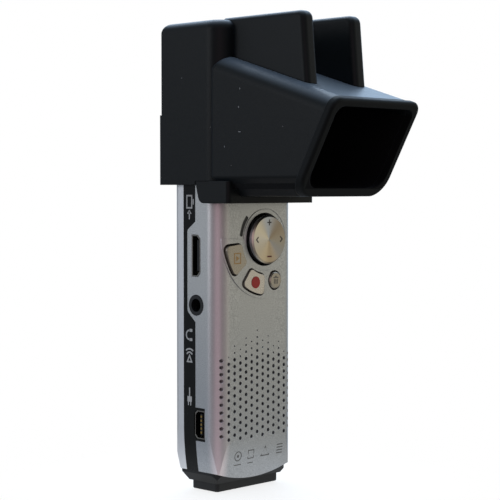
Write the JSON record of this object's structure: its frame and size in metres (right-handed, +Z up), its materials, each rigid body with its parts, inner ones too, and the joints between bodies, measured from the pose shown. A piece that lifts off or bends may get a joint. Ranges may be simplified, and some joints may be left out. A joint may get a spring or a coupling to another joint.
{
  "type": "pocket camcorder with viewing hood",
  "caption": "Slim upright pocket camcorder with a black slide-on viewing hood, a four-way disc, keys, side ports and loudspeaker holes.",
  "frame": {"origin": "mouth of the tripod socket, in the middle of the foot's underside", "axes": "+Z up the body, +X to the operator's right, +Y from the operator to the subject"},
  "size_m": [0.0344, 0.0641, 0.1278],
  "materials": {
    "silver_paint": "satin metallic paint",
    "black_gloss": "glossy black",
    "black_matte": "fine moulded grain",
    "hood_plastic": "fine moulded grain, charcoal black",
    "brushed_disc": "circular brushing, polished edge",
    "key_silver": "satin silver",
    "red_spot": "red",
    "connector_metal": "plated steel",
    "contact_plastic": "black moulding",
    "brass": "machined",
    "steel": "zinc plated",
    "dark_glass": "dark window",
    "lens_glass": "coated",
    "board": "solder mask",
    "cell_wrap": "shrink wrap",
    "panel": "display panel",
    "rubber": "matte"
  },
  "bodies": {
    "camera": {"back_shell": "silver_paint", "front_shell": "silver_paint", "side_frame": "black_gloss", "top_cap": "black_gloss", "bottom_cap": "black_matte", "tripod_insert": "brass", "case_screws": "steel", "hdmi_socket": "connector_metal", "hdmi_tongue": "contact_plastic", "usb_socket": "connector_metal", "usb_tongue": "contact_plastic", "av_jack": "contact_plastic", "button_plate": "silver_paint", "status_window": "dark_glass", "button_web": "rubber", "main_board": "board", "dome_switches": "steel", "speaker": "black_matte", "screen_window": "dark_glass", "lcd_panel": "panel", "battery": "cell_wrap", "microphone_left": "steel", "microphone_right": "steel", "lens_barrel": "black_matte", "lens_glass": "lens_glass", "lens_inner_element": "lens_glass", "lens_ring": "connector_metal", "sensor_board": "board", "record_lamp": "red_spot"},
    "play_button": {"play_button": "key_silver"},
    "record_button": {"record_button": "key_silver", "record_dot": "red_spot"},
    "trash_button": {"trash_button": "key_silver"},
    "dpad_rocker": {"dpad_rocker": "rubber"},
    "dpad_cap": {"dpad_cap": "brushed_disc"},
    "hood": {"hood_shell": "hood_plastic", "hood_tunnel": "hood_plastic", "hood_fins": "hood_plastic", "hood_sleeve": "hood_plastic", "hood_rim": "hood_plastic"}
  },
  "joints": [
    {"name": "hood_slide", "type": "slide", "parent": "camera", "child": "hood", "axis": [0, 0, 1], "range_m": [0, 0.046]},
    {"name": "play_press", "type": "slide", "parent": "camera", "child": "play_button", "axis": [0, 1, 0], "range_m": [0, 0.0004], "stiffness_N_per_m": 2500},
    {"name": "record_press", "type": "slide", "parent": "camera", "child": "record_button", "axis": [0, 1, 0], "range_m": [0, 0.0004], "stiffness_N_per_m": 2500},
    {"name": "trash_press", "type": "slide", "parent": "camera", "child": "trash_button", "axis": [0, 1, 0], "range_m": [0, 0.0004], "stiffness_N_per_m": 2500},
    {"name": "dpad_up_down", "type": "hinge", "parent": "camera", "child": "dpad_rocker", "pos_m": [0.003, -0.0063, 0.0684], "axis": [1, 0, 0], "range_deg": [-3, 3], "stiffness_Nm_per_rad": 0.25},
    {"name": "dpad_left_right", "type": "hinge", "parent": "dpad_rocker", "child": "dpad_cap", "pos_m": [0.003, -0.0063, 0.0684], "axis": [0, 0, 1], "range_deg": [-3, 3], "stiffness_Nm_per_rad": 0.25}
  ]
}
